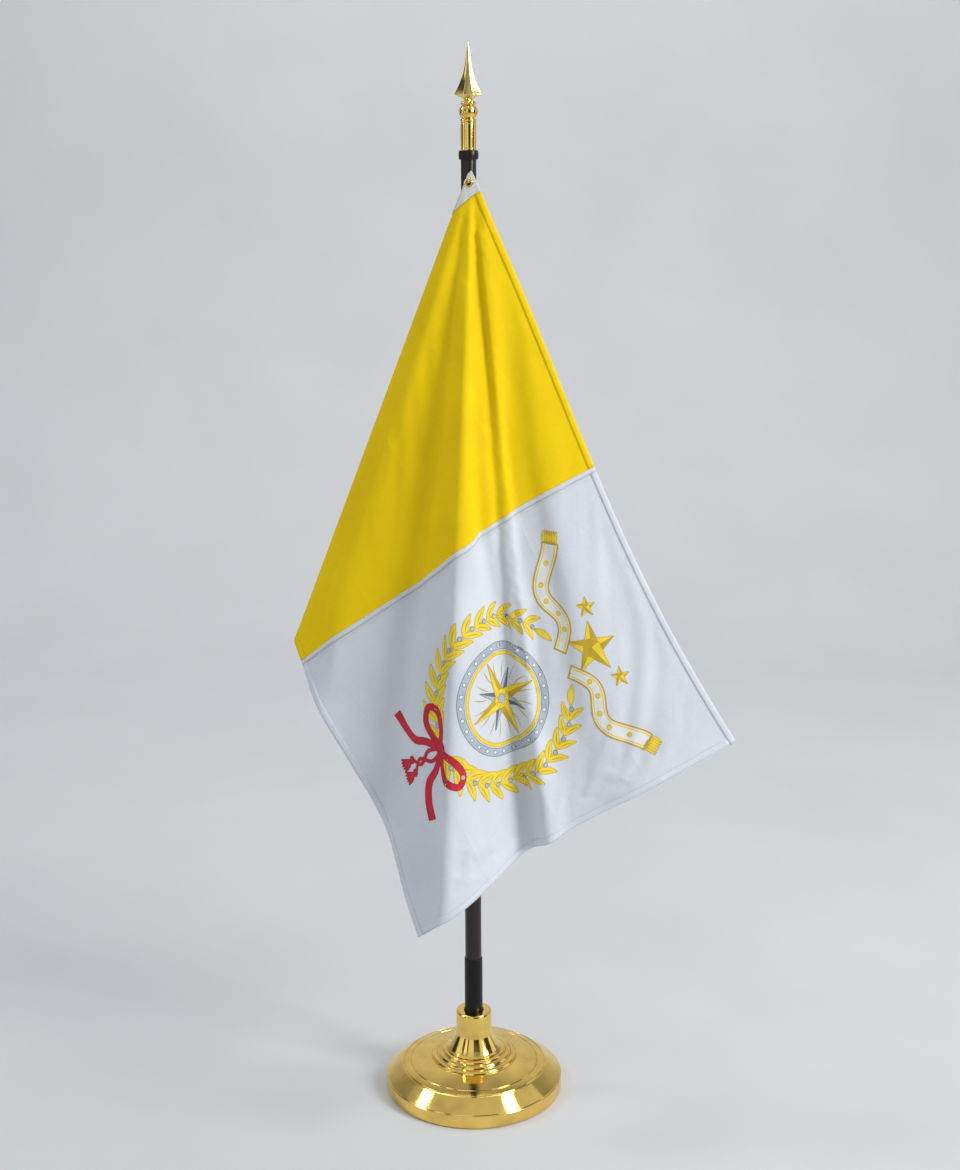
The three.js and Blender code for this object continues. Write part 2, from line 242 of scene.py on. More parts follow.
# ================================================================= materials
class Nodes:
    """A new material's or world's node tree, with short ways to add nodes and links."""

    def __init__(self, name, world=False):
        self.owner = (bpy.data.worlds if world else bpy.data.materials).new(name)
        self.owner.use_nodes = True
        self.tree = self.owner.node_tree
        self.shader = self.tree.nodes["Background" if world else "Principled BSDF"]

    def feed(self, socket, value):
        """Links a node's output to the socket, or sets the socket's own value."""
        if isinstance(value, bpy.types.NodeSocket):
            self.tree.links.new(value, socket)
        else:
            socket.default_value = value

    def add(self, kind, **values):
        node = self.tree.nodes.new(kind)
        for key, value in values.items():
            socket = key.replace("_", " ")
            if socket in node.inputs:
                self.feed(node.inputs[socket], value)
            else:
                setattr(node, key, value)
        return node

    def set(self, **values):
        for key, value in values.items():
            self.feed(self.shader.inputs[key.replace("_", " ")], value)

    def maths(self, operation, a, b=0.0):
        node = self.add("ShaderNodeMath", operation=operation)
        self.feed(node.inputs[0], a)
        self.feed(node.inputs[1], b)
        return node.outputs[0]

    def times(self, a, b):
        return self.maths("MULTIPLY", a, b)

    def plus(self, a, b):
        return self.maths("ADD", a, b)

    def ramp(self, source, *stops):
        node = self.add("ShaderNodeValToRGB", Fac=source)
        elements = node.color_ramp.elements
        while len(elements) < len(stops):
            elements.new(0.5)
        for element, (place, colour) in zip(elements, stops):
            element.position = place
            element.color = (*colour, 1)
        return node.outputs[0]

    def spread(self, source, low, high, start=0.0, end=1.0, kind="LINEAR"):
        """The source's start to end, moved to low to high."""
        ends = dict(From_Min=start, From_Max=end, To_Min=low, To_Max=high)
        return self.add("ShaderNodeMapRange", interpolation_type=kind, Value=source, **ends).outputs["Result"]

    def bump(self, height, distance, strength=1.0, after=None):
        node = self.add("ShaderNodeBump", Height=height, Strength=strength, Distance=distance)
        if after is not None:
            self.feed(node.inputs["Normal"], after)
        self.set(Normal=node.outputs[0])
        return node.outputs[0]

    def place(self, kind="Object", scale=(1, 1, 1)):
        """Coordinates in metres of the part's frame, or of the cloth's own cut, times scale."""
        source = self.add("ShaderNodeTexCoord").outputs[kind]
        return self.add("ShaderNodeMapping", Vector=source, Scale=scale).outputs[0]

    def split(self, vector):
        return tuple(self.add("ShaderNodeSeparateXYZ", Vector=vector).outputs)

    def noise(self, vector, scale, detail=3.0, roughness=0.5):
        node = self.add("ShaderNodeTexNoise", Vector=vector, Scale=scale, Detail=detail, Roughness=roughness)
        return node.outputs["Fac"]


def brass_material(name, colour, roughness, spun=True):
    """Polished brass: fine turning marks round the axis, cloudy tarnish and handling smears."""
    m = Nodes(name)
    place = m.place()
    tarnished = tuple(c * 0.8 for c in colour)
    bright = tuple(min(1, c * 1.06) for c in colour)
    smear = m.noise(m.place(scale=(1, 1, 2.2)), 95, 6, 0.62)
    m.set(
        Metallic=1.0, IOR=1.5, Roughness=m.spread(smear, roughness * 0.55, roughness * 1.6),
        Base_Color=m.ramp(m.noise(place, 28, 5), (0.3, tarnished), (0.62, bright)),
    )
    dents = m.bump(m.noise(place, 60, 2), distance=0.00012, strength=0.35)
    if spun:
        x, y, z = m.split(place)
        squares = m.plus(m.times(x, x), m.times(y, y))
        lathe = m.add("ShaderNodeCombineXYZ", X=m.maths("SQRT", squares), Y=z).outputs[0]
        m.bump(m.noise(lathe, 1500, 4, 0.7), distance=0.00003, strength=0.35, after=dents)
        tangent = m.add("ShaderNodeTangent", direction_type="RADIAL", axis="Z").outputs[0]
        m.set(Anisotropic=0.6, Anisotropic_Rotation=0.25, Tangent=tangent)
    return m.owner


def wood_material():
    """Dark stained wood under satin varnish, grain along the pole."""
    m = Nodes("dark_stained_wood")
    grain = m.noise(m.place(scale=(1, 1, 0.035)), 260, 8, 0.62)
    pores = m.noise(m.place(scale=(1, 1, 0.02)), 900, 3, 0.5)
    shade = m.plus(m.times(grain, 0.75), m.times(pores, 0.25))
    colours = (0.3, (0.003, 0.0018, 0.0014)), (0.5, (0.009, 0.0045, 0.003)), (0.68, (0.022, 0.010, 0.006))
    m.set(
        Coat_Weight=0.4, Coat_Roughness=0.14, Specular_IOR_Level=0.3, Base_Color=m.ramp(shade, *colours),
        Roughness=m.spread(grain, 0.28, 0.5),
    )
    m.bump(pores, distance=0.0001, strength=0.5)
    return m.owner


def plastic_material(name, colour, roughness):
    """Moulded plastic with a faint grain and a few dull rubs."""
    m = Nodes(name)
    rub = m.noise(m.place(), 40, 5, 0.6)
    worn = tuple(c * 1.7 + 0.002 for c in colour)
    m.set(
        Specular_IOR_Level=0.3, Base_Color=m.ramp(rub, (0.35, colour), (0.75, worn)),
        Roughness=m.spread(rub, roughness * 0.8, roughness * 1.35),
    )
    m.bump(m.noise(m.place(), 1800, 2), distance=0.00004, strength=0.4)
    return m.owner


def metal_material(name, dark, light, roughness, scale):
    """Dull metal, clouded and grained at that scale."""
    m = Nodes(name)
    cloud = m.noise(m.place(), scale, 6, 0.6)
    m.set(
        Metallic=1.0, Base_Color=m.ramp(cloud, (0.3, dark), (0.7, light)),
        Roughness=m.spread(cloud, roughness * 0.8, roughness * 1.25),
    )
    m.bump(m.noise(m.place(), scale * 12, 4), distance=0.0002, strength=0.4)
    return m.owner


def felt_material():
    m = Nodes("black_felt")
    fuzz = m.noise(m.place(), 900, 6, 0.75)
    colours = (0.3, (0.006, 0.006, 0.007)), (0.7, (0.03, 0.03, 0.032))
    m.set(Roughness=0.97, Sheen_Weight=0.4, Base_Color=m.ramp(fuzz, *colours))
    m.bump(fuzz, distance=0.0006, strength=0.8)
    return m.owner


def weave_height(m, pitch):
    """Height of a plain weave with threads of that pitch over and under, and the cut's u and v."""
    u, v, _ = m.split(m.place("UV"))
    turns = math.pi / pitch
    across = m.maths("SINE", m.times(u, turns))
    along = m.maths("SINE", m.times(v, turns))
    over = m.times(across, along)
    return m.times(m.plus(over, 1.0), 0.5), (u, v)


def line_height(m, source, at, half_width, wander=None):
    """1 along the line where the source is at that value, falling to 0 at the half width."""
    gap = m.maths("ABSOLUTE", m.maths("SUBTRACT", source, at))
    if wander is not None:
        gap = m.plus(gap, wander)
    return m.spread(gap, 1, 0, 0, half_width, "SMOOTHSTEP")


def cloth_material(name, shade, colour, pitch=0.0009, sheen=0.12, creases=(), rows=()):
    """Woven cloth: threads, slubs, changes of shade, puckers, packing creases and stitched rows."""
    m = Nodes(name)
    weave, cut = weave_height(m, pitch)
    slub = m.noise(m.place("UV", (1, 0.06, 1)), 700, 4, 0.6)
    cloud = m.noise(m.place("UV"), 9, 4, 0.55)
    mix = m.plus(m.times(cloud, 0.6), m.times(slub, 0.4))
    m.set(
        Roughness=0.78, Sheen_Weight=sheen, Sheen_Roughness=0.4, Specular_IOR_Level=0.22,
        Base_Color=m.ramp(mix, (0.32, shade), (0.62, colour)),
    )
    normal = m.bump(m.noise(m.place("UV", (1, 1.3, 1)), 14, 5, 0.5), distance=0.006, strength=0.3)
    patchy = m.noise(m.place("UV"), 7, 3)
    wander = m.times(m.noise(m.place("UV"), 12, 2), 0.004)
    for axis, at in creases:
        line = line_height(m, cut[axis], at, 0.009, wander)
        normal = m.bump(m.times(line, patchy), distance=0.0016, strength=0.35, after=normal)
    pull = m.noise(m.place("UV"), 160, 2)
    for axis, at in rows:
        groove = line_height(m, cut[axis], at, 0.0028)
        puckers = m.times(groove, m.plus(pull, 0.5))
        normal = m.bump(m.times(puckers, -1.0), distance=0.0005, strength=0.3, after=normal)
    m.bump(weave, distance=0.00018, strength=0.7, after=normal)
    return m.owner


def print_material(name, shade, colour, roughness=0.6):
    """Screen-printed ink that has sunk into the weave, slightly uneven."""
    m = Nodes(name)
    weave, _ = weave_height(m, 0.0009)
    patch = m.noise(m.place("UV"), 60, 5, 0.6)
    grain = m.plus(m.times(patch, 0.8), m.times(weave, 0.2))
    tones = m.ramp(grain, (0.3, shade), (0.62, colour))
    m.set(Roughness=roughness, Specular_IOR_Level=0.35, Base_Color=tones)
    m.bump(weave, distance=0.00015, strength=0.6)
    return m.owner


def mm_lines(axis, *places):
    return tuple((axis, place * MM) for place in places)


PACKING = mm_lines(0, 228, 685) + mm_lines(1, 152, 305, 458)
HEM_ROWS = mm_lines(1, HEM_ROW, HOIST - HEM_ROW)
BRASS = brass_material("polished_brass", (1.0, 0.66, 0.17), 0.1)
BRASS_PLAIN = brass_material("cast_brass", (0.98, 0.71, 0.26), 0.1, spun=False)
WOOD = wood_material()
BLACK = plastic_material("black_plastic", (0.0015, 0.0012, 0.0014), 0.3)
COLLAR = plastic_material("collar_plastic", (0.011, 0.006, 0.004), 0.26)
STEEL = metal_material("zinc_steel", (0.45, 0.46, 0.48), (0.66, 0.67, 0.69), 0.36, 60)
IRON = metal_material("cast_iron", (0.03, 0.03, 0.032), (0.09, 0.09, 0.092), 0.66, 90)
FELT = felt_material()
CANVAS = cloth_material("header_canvas", (0.60, 0.59, 0.56), (0.74, 0.73, 0.70), 0.0013, 0.08)
YELLOW = cloth_material(
    "yellow_cloth", (0.86, 0.58, 0.0), (0.93, 0.66, 0.0), sheen=0.0,
    creases=PACKING, rows=HEM_ROWS + mm_lines(0, HEADER_W + 2),
)
# The white's blue tint is partly the cloth's own colour and partly painted blue light reflected from a blue
# backdrop, which the pale stage does not have.
WHITE = cloth_material(
    "white_cloth", (0.64, 0.67, 0.725), (0.71, 0.745, 0.80), creases=PACKING,
    rows=HEM_ROWS + mm_lines(0, FLY - HEM_ROW),
)
THREAD_WHITE = print_material("white_thread", (0.66, 0.66, 0.66), (0.80, 0.80, 0.80), 0.75)
THREAD_YELLOW = print_material("yellow_thread", (0.74, 0.46, 0.0), (0.88, 0.60, 0.0), 0.75)
INKS = {
    "gold": print_material("gold_ink", (0.80, 0.58, 0.02), (0.90, 0.70, 0.05)),
    "gold_line": print_material("gold_line_ink", (0.46, 0.31, 0.02), (0.58, 0.41, 0.03)),
    "silver": print_material("silver_ink", (0.36, 0.42, 0.50), (0.47, 0.53, 0.61)),
    "grey_line": print_material("grey_line_ink", (0.09, 0.12, 0.15), (0.15, 0.18, 0.22)),
    "red": print_material("red_ink", (0.50, 0.012, 0.03), (0.63, 0.02, 0.045)),
    "red_line": print_material("red_line_ink", (0.26, 0.006, 0.016), (0.34, 0.01, 0.022)),
    "paper": print_material("ribbon_ink", (0.74, 0.75, 0.76), (0.80, 0.81, 0.82)),
}


# ================================================================= base
def build_base():
    rim, _, top = extent("base_shell")
    hole, thick = 10.4, 1.8
    outside = [
        (131, 1), (136, 1), (rim, 2.2), (rim, 20.6), (135.6, 21.6), (135.2, 22.6), (113, 39), (111.2, 39.8),
        (110.4, 38.9), (109.9, 38.9), (109.2, 40.1), (99.9, 42.6), (99.2, 41.6), (98.6, 41.7), (98, 43.1),
        (66.9, 49.9), (66.2, 48.9), (65.6, 48.9), (64.9, 51.4), (62.9, 53.7), (58.6, 54.7), (58, 53.8),
        (57.4, 53.9), (56.7, 56.1), (54.9, 58.6), (50.6, 59.7), (50, 58.9), (49.4, 59), (48.7, 60.9),
        (46.8, 62.7), (43.5, top), (hole, top),
    ]
    inside = [
        (hole, top - thick), (44.5, top - thick), (47.2, 58), (53.2, 57), (54.8, 52.6), (61, 51.4),
        (62.8, 47.6), (97, 40.1), (109, 37), (112, 36.8), (rim - thick, 20.2), (rim - thick, 2.6), (131, 2.6),
    ]
    fitting("base_cover", "base_shell", "base", "brass", BRASS, outside + inside,
            closed=True, segments=220, corner=0.45)

    foot, _, top = extent("socket_neck")
    seat, stem, neck, bore, floor = 63.3, 10, 27.6, 14.3, 70
    fitting("neck", "socket_neck", "base", "brass", BRASS, [
        (0, 5.2), (stem - 1, 5.2), (stem, 6.2), (stem, seat), (foot - 0.6, seat), (foot, 64.6), (40.2, 67.2),
        (36.4, 73), (32.9, 79.5), (29.9, 85.4), (28.1, 89.4), (neck, 93), (neck, top - 3), (26.8, top - 0.9),
        (25, top), (16, top), (bore, top - 1.5), (bore, floor), (0, floor),
    ], corner=1.6)

    felt = [(0, 0), (130.2, 0), (130.5, 0.6), (130.5, 2.6), (0, 2.6)]
    fitting("felt_underside", "felt_pad", "base", "felt", FELT, felt)
    plate = [(0, 2.9), (134.8, 2.9), (134.8, 4.3), (0, 4.3)]
    fitting("bottom_plate", "base_bottom_plate", "base", "steel", STEEL, plate)


# ================================================================= pole and fittings
def build_lower_pole():
    """The sleeve that stands in the neck, and the lower section that stands in the sleeve."""
    r, low, top = extent("pole_sleeve")
    wall, floor = 1, 4
    fitting("sleeve", "pole_sleeve", "sleeve", "black_plastic", BLACK, [
        (0, low), (r - 0.8, low), (r, low + 0.8), (r, top - 1.2), (r - 0.5, top), (r - 0.9, top),
        (r - wall, top - 0.5), (r - wall, low + floor), (0, low + floor),
    ])
    r, low, top = extent("pole_lower")
    hole, depth = 5.6, 22
    fitting("lower_section", "pole_lower", "lower_pole", "dark_wood", WOOD, [
        (0, low), (r - 1, low), (r, low + 1), (r, top), (hole, top), (hole, top - depth), (0, top - depth),
    ])


def build_coupling():
    """A brass socket on the lower section, and the plug on the upper section that screws into it."""
    meet = 648
    r, low, top = extent("coupling_socket")
    groove, inner, thread, floor = r - 0.6, r - 1.1, 5.3, 640.3
    fitting("coupling_lower_half", "coupling_socket", "lower_pole", "brass", BRASS, [
        (inner, low), (r - 0.5, low), (r, low + 0.8), (r, low + 7), (groove, low + 7.8), (groove, low + 9.2),
        (r, low + 10), (r, top - 10), (groove, top - 9.2), (groove, top - 7.8), (r, top - 7), (r, top - 0.6),
        (groove, top), (12.4, top), (12.4, meet), (thread, meet), (thread, floor), (inner, floor),
    ], closed=True)

    r, low, top = extent("coupling_plug")
    groove, inner, shoulder, floor = r - 0.5, r - 0.9, meet + 0.4, 657
    fitting("coupling_upper_half", "coupling_plug", "upper_pole", "brass", BRASS, [
        (0, low), (4, low), (5, low + 1), (5, shoulder), (r, shoulder), (r, top - 9), (groove, top - 8.2),
        (groove, top - 7), (r, top - 6.2), (r, top - 0.6), (groove, top), (inner, top), (inner, floor),
        (0, floor),
    ])


def build_upper_pole():
    """The upper section and the rounded collar on its top."""
    r, low, top = extent("pole_upper")
    hole, depth = 5.8, 29.3
    fitting("upper_section", "pole_upper", "upper_pole", "dark_wood", WOOD, [
        (0, low), (r, low), (r, top), (hole, top), (hole, top - depth), (0, top - depth),
    ])

    r, low, top = extent("top_collar")
    bore, flat, fullness, steps = 11.1, 11.6, 0.55, 12
    middle, half = (low + top) / 2, (top - low) / 2
    outline = [(bore, low)]
    for k in range(steps + 1):
        a = math.pi * (k / steps - 0.5)
        outline.append((flat + (r - flat) * math.cos(a) ** fullness, middle + half * math.sin(a)))
    outline.append((bore, top))
    fitting("collar", "top_collar", "upper_pole", "black_plastic", COLLAR, outline, closed=True)


def build_hooks():
    """Open screw hooks: a shank into the pole, and a wire that dips to the eyelet and turns up again."""
    wire = 1.2
    for end, (y, z) in HOOK_EYES.items():
        rest, shank = z + 0.9, z + 9
        path = spline([
            (0, -3.2, shank), (0, -7, shank), (0, -10.8, shank), (0, -12.6, shank - 2.2),
            (0, y + 2.8, rest + 0.7), (0, y, rest), (0, y - 2.8, rest + 0.5), (0, y - 5.2, rest + 3.8),
            (0, y - 5, rest + 7.4),
        ], 90)
        hook = tube("screw_hook_" + end, path, wire, BRASS_PLAIN)
        piece(hook, "upper_pole", "brass", "hook_" + end)


def build_grommets():
    """Each eyelet's front part and washer, with the heading's canvas held between them."""
    front, back, hole, outer = 0.7, -0.7, 2.9, 6.5
    parts = (
        ("eyelet", "_eyelet", 0.35, [
            (hole, back - 1), (3.9, back - 1), (3.9, front), (outer, front), (outer, front + 0.3),
            (5.4, front + 1.1), (3.5, front + 1.1), (hole, front + 0.3),
        ]),
        ("washer", "_eyelet_washer", 0.2, [
            (4.2, back - 0.8), (6.2, back - 0.8), (outer, back - 0.3), (outer, back), (4.2, back),
        ]),
    )
    for end, (y, z) in HOOK_EYES.items():
        turn = Matrix.Translation((0, y * MM, z * MM)) @ Matrix.Rotation(math.pi / 2, 4, "X")
        for part, name, corner, outline in parts:
            obj = turned(end + name, outline, BRASS_PLAIN, closed=True, segments=64, corner=corner)
            obj.data.transform(turn)
            piece(obj, "upper_pole", "brass", "grommet_%s_%s" % (end, part))


# ================================================================= finial
def build_finial():
    """The ferrule, band, globe and small bead that are strung on the finial's rod."""
    hole = 3.3
    r, low, top = extent("finial_tube")
    bore, line, floor = r - 1.9, r - 0.35, top - 5.7
    fitting("finial_ferrule", "finial_tube", "finial", "brass", BRASS, [
        (bore, low), (r, low), (r, low + 2), (line, low + 2.5), (r, low + 3), (r, top - 3), (line, top - 2.5),
        (r, top - 2), (r, top), (hole, top), (hole, floor), (bore, floor),
    ], closed=True)

    r, low, top = extent("finial_ring")
    fitting("finial_band", "finial_ring", "finial", "brass", BRASS, [
        (hole, low), (r - 1, low), (r, low + 1), (r, top - 1), (r - 1, top), (hole, top),
    ], closed=True, corner=0.8)

    r, low, top = extent("finial_ball")
    flat, half_height, spread, steps = 8.6, 11.8, 0.87, 24
    curve = [(hole, low), (flat, low)]
    for k in range(1, steps):
        a = spread * (2 * k / steps - 1)
        curve.append((r * math.cos(a), (low + top) / 2 + half_height * math.sin(a)))
    curve += [(flat, top), (hole, top)]
    fitting("finial_globe", "finial_ball", "finial", "brass", BRASS, curve, closed=True, corner=0.2)

    r, low, top = extent("finial_bead")
    fitting("finial_small_bead", "finial_bead", "finial", "brass", BRASS, [
        (hole, low), (r - 1.1, low), (r, low + 1.4), (r, top - 1.5), (r - 1.3, top), (hole, top),
    ], closed=True, corner=1.2)


def spear_section(off, reach):
    """How far out the spear is: off is 0 on a ridge and 1 between two, and reach is 0 where it is round."""
    hollow, flats = 0.52 * math.sin(off * math.pi / 2) ** 0.75, 0.03
    ridge = 0.035 * math.exp(-((off / 0.09) ** 2))
    return 1 - reach * (hollow + flats) + reach * ridge


def build_spear():
    """Four ridges, hollowed between, drawn out to a point; the underside is a hollow cone."""
    wide, low, top = extent("finial_spear")
    outline = spline([
        (4.9, low), (5.4, low + 1.2), (6.8, low + 2.8), (10.5, low + 5), (15.5, low + 7),
        (wide - 0.2, low + 8.7),
    ], 16).tolist()
    outline += spline([
        (wide, low + 9.1), (17.2, low + 12.3), (14.6, low + 17), (10.3, low + 27.4), (6.6, low + 40.5),
        (4, low + 53.5), (2.1, low + 66.5), (0.5, top - 1.6),
    ], 44).tolist()
    segments, round_height = 96, 7
    points = [(0, 0, low)]
    for r, z in outline:
        reach = float(smoothstep(z, low, low + round_height))
        for a in around(segments):
            turn = a / (math.pi / 2)
            x, y = polar(r * spear_section(abs(turn - round(turn)) * 2, reach), a)
            points.append((x, y, z))
    points.append((0, 0, top))
    faces = cap_faces(1, segments, 0, flip=True)
    faces += cap_faces(1 + (len(outline) - 1) * segments, segments, len(points) - 1)
    faces += ring_faces(len(outline), segments, first=1)
    spear = make_mesh("spear", points, faces, BRASS_PLAIN)
    sharpen(spear, 38)
    piece(spear, "finial", "brass", "finial_spear")


# ================================================================= flag: how it hangs
def direction(psi, beta):
    """A ray from the hung corner, psi degrees to the right of straight down and beta degrees forward."""
    psi, beta = np.radians(psi), np.radians(beta)
    return np.stack([np.sin(psi) * np.cos(beta), -np.sin(beta), -np.cos(psi) * np.cos(beta)], -1)


def fan(points, total):
    """Rays of a cone of cloth: psi, beta and pleat, the pleats deep enough to use up the total angle."""
    points = np.array(points, float)
    low, high = 0.0, 6.0
    halvings, samples = 30, 500
    for _ in range(halvings):
        depth = (low + high) / 2
        curve = spline(np.stack([points[:, 0], points[:, 1] + depth * points[:, 2]], 1), samples)
        rays = direction(curve[:, 0], curve[:, 1])
        steps = np.degrees(np.arccos(np.clip((rays[1:] * rays[:-1]).sum(1), -1, 1)))
        if steps.sum() < total:
            low = depth
        else:
            high = depth
    angle = np.concatenate([[0], np.cumsum(steps)])

    def ray(a):
        return unit(np.stack([np.interp(a, angle, rays[:, j]) for j in range(3)], -1))

    return ray


FOLD_DIR = (FOLD_END - FOLD_START) / np.linalg.norm(FOLD_END - FOLD_START)
FOLD_NORMAL = np.array([FOLD_DIR[1], -FOLD_DIR[0]])
FLAP_TOTAL = math.degrees(math.acos(FOLD_DIR[1]))
# Where the two eyelets are in the cut, and where the hooks hold them.
EYELETS = (
    ((EYELET_IN, EYELET_IN), (0.0, *HOOK_EYES["top"])),
    ((EYELET_IN, HOIST - EYELET_IN), (0.0, *HOOK_EYES["bottom"])),
)
EYELET_HOLE = 4.2
EYELET_REACH = 34.0

# Ray by ray from the top edge on the right to the fold on the left.
FRONT_RAYS = [
    (25.3, 3.4, -0.1), (20.5, 3.7, 0.0), (15.5, 3.9, 0.1), (11.5, 4.1, 0.0), (8.6, 4.2, 0.0), (6.5, 4.3, 0.1),
    (5.1, 3.9, -0.1), (3.6, 4.3, -0.1), (1.5, 5.5, 0.0), (-0.5, 6.4, 0.1), (-2.2, 6.9, 0.1), (-3.4, 6.4, 0.0),
    (-5.2, 4.7, 0.0), (-8.0, 2.1, -0.1), (-12, 0.4, 0.1), (-16.4, -1.0, 0.3), (-19.6, -2.9, 0.1),
    (-21.5, -4.0, 0.0),
]
FOLD_PSI, FOLD_BETA = FRONT_RAYS[-1][:2]
FRONT_CUT = math.degrees(math.atan2(FOLD_END[1], FOLD_END[0]))
# The weave gives a little on the bias, so the cloth that hangs from its corner closes up by this much.
BIAS_GIVE = 0.955
# How much longer or shorter the rays hang than they were cut, by their angle in the cut.
RAY_GIVE = ((0, 0.985), (33.7, 1.0), (FRONT_CUT, 0.995))
# From the fold back to the hoist, behind the front, in three loose folds.
FLAP_RAYS = [
    (-21.5, -4.0, 0.0), (-19.9, -4.8, -0.3), (-16.8, -4.6, -1.0), (-12.8, -2.2, 1.0), (-8.8, -2.6, -1.0),
    (-5.0, 0.4, 0.9), (-2.2, 0.1, 0.1), (-0.6, -0.1, 0.0), (0.96, -0.15, 0.0),
]
# A pinched fold that runs in from the fly edge and dies out: angle in the cut, width and depth.
NOTCH = ((19.8, 1.4, -4.0), (22.3, 1.7, 9.0))
NOTCH_REACH = (520.0, 1020.0)
# The top edge sags by this many degrees half way along, less and less down to this angle in the cut.
SAG, SAG_TO = 2.3, 25
# The cloth swings to the left by this many degrees, most at this angle in the cut, and this far either side.
SWING, SWING_AT, SWING_WIDTH = 0.3, 36, 11
# Past the fold's lower end, how far psi and beta turn for each degree of the cut.
PAST_FOLD = (0.75, 0.1)
# The cloth is flat up to the first of these distances from the hung corner, and pleated from the second.
FLAT_AT_CORNER = (20, 70)
FOLD_RADIUS = 6.5
FOLD_RADIUS_TOP = 1.2
FOLD_OPENS = (20, 160)
FOLD_EASE = 90.0


def fold_round(across, rho):
    """Near the fold: how far in from its edge each point lies, and how far off its middle."""
    radius = FOLD_RADIUS_TOP + (FOLD_RADIUS - FOLD_RADIUS_TOP) * smoothstep(rho, *FOLD_OPENS)
    bend = radius * math.pi / 2
    gap = np.abs(across)
    turn = np.minimum(gap / radius, math.pi / 2)
    beyond = 1 - smoothstep(gap, bend, bend + FOLD_EASE)
    inward = np.where(gap < bend, radius * (1 - np.cos(turn)), gap - (bend - radius) * beyond)
    offset = np.where(gap < bend, radius * np.sin(turn), radius * beyond)
    return inward, offset


front_ray = fan(FRONT_RAYS, FRONT_CUT * BIAS_GIVE)
flap_ray = fan(FLAP_RAYS, FLAP_TOTAL * BIAS_GIVE)


def front(u, v):
    """The visible side: a pleated cone from the hung corner."""
    rho = np.hypot(u, v)
    angle = np.degrees(np.arctan2(v, u))
    rays = front_ray(angle * BIAS_GIVE)
    past = np.maximum(angle - FRONT_CUT, 0)
    near_corner = direction(FOLD_PSI - PAST_FOLD[0] * past, FOLD_BETA - PAST_FOLD[1] * past)
    rays = np.where((past > 0)[..., None], near_corner, rays)
    inwards = smoothstep(rho, *NOTCH_REACH)
    sag = SAG * np.sin(np.pi * np.clip(rho / FLY, 0, 1)) * np.clip(1 - angle / SAG_TO, 0, 1)
    swing = SWING * np.exp(-(((angle - SWING_AT) / SWING_WIDTH) ** 2))
    turn = np.radians(-sag - swing)
    rays = np.stack([
        rays[..., 0] * np.cos(turn) - rays[..., 2] * np.sin(turn), rays[..., 1],
        rays[..., 0] * np.sin(turn) + rays[..., 2] * np.cos(turn),
    ], -1)
    p = CORNER + (rho * np.interp(angle, *zip(*RAY_GIVE)))[..., None] * rays
    p[..., 1] = CORNER[1] + (p[..., 1] - CORNER[1]) * smoothstep(rho, *FLAT_AT_CORNER)
    for at, width, depth in NOTCH:
        p[..., 1] += depth * inwards * np.exp(-(((angle - at) / width) ** 2))
    return p


def behind(u, v):
    """The side that is turned behind: a fan of loose folds from the top of the fold."""
    joined, clear, clear_by = 9.0, 1.6, 6.0
    rel = np.stack([u, v], -1) - FOLD_START
    rho = np.linalg.norm(rel, axis=-1)
    angle = np.degrees(np.arccos(np.clip((rel @ FOLD_DIR) / np.maximum(rho, TOUCHING), -1, 1)))
    line = FOLD_START + rho[..., None] * FOLD_DIR
    start = front(FOLD_START[:1], FOLD_START[1:])[0]
    flap = start + rho[..., None] * flap_ray(angle * BIAS_GIVE)
    shift = front(line[..., 0], line[..., 1]) - (start + rho[..., None] * flap_ray(np.zeros(rho.shape)))
    flap += shift * np.exp(-angle / joined)[..., None]
    flap[..., 1] += clear * (1 - np.exp(-rho * np.radians(angle) / clear_by))
    return flap


def start_shape(u, v):
    """Where each point of the flat cloth starts: a pleated cone in front and a pleated flap behind."""
    u, v = np.asarray(u, float), np.asarray(v, float)
    cut = np.stack([u, v], -1)
    rel = cut - FOLD_START
    across = rel @ FOLD_NORMAL
    inward, offset = fold_round(across, rel @ FOLD_DIR)
    side = np.where(across < 0, -1.0, 1.0)
    moved = cut + FOLD_NORMAL * (side * (inward - np.abs(across)))[..., None]
    ahead, back = front(moved[..., 0], moved[..., 1]), behind(moved[..., 0], moved[..., 1])
    points = np.where((across < 0)[..., None], back, ahead)
    points[..., 1] -= side * offset
    return points


def seated(u, v):
    """The start shape, drawn over near each eyelet so that it passes through the hook's rest."""
    points = start_shape(u, v)
    for (cu, cv), place in EYELETS:
        near = np.exp(-((np.asarray(u) - cu) ** 2 + (np.asarray(v) - cv) ** 2) / EYELET_REACH**2)
        points = points + near[..., None] * (np.array(place) - start_shape(cu, cv))
    return points


# How firmly the cloth is held while it settles: everywhere, at the fold and in the heading.
HOLD_ALL, HOLD_FOLD, HOLD_HEADING = 0.12, 0.9, 0.7
# The same at the top, fly and bottom edges, at the two fly corners and at the fold's lower end.
HOLD_EDGES = (0.62, 0.5, 0.45)
HOLD_CORNERS = (((FLY, 0), 0.85), ((FLY, HOIST), 0.75), (FOLD_END, 0.85))
# How far from the fold, an edge, a corner and an eyelet the cloth is held.
FOLD_HELD, EDGE_HELD, CORNER_HELD, EYELET_HELD = (14, 50), (0, 45), (0, 70), 24
SETTLE_FRAMES = 24
CLOTH_SETTINGS = dict(
    quality=8, mass=0.12, air_damping=4, tension_stiffness=30, compression_stiffness=30, shear_stiffness=12,
    bending_stiffness=1.2, tension_damping=12, compression_damping=12, vertex_group_mass="held",
    pin_stiffness=1.5,
)
CLOTH_TOUCH = dict(use_collision=False, use_self_collision=True, self_distance_min=0.003, collision_quality=3)


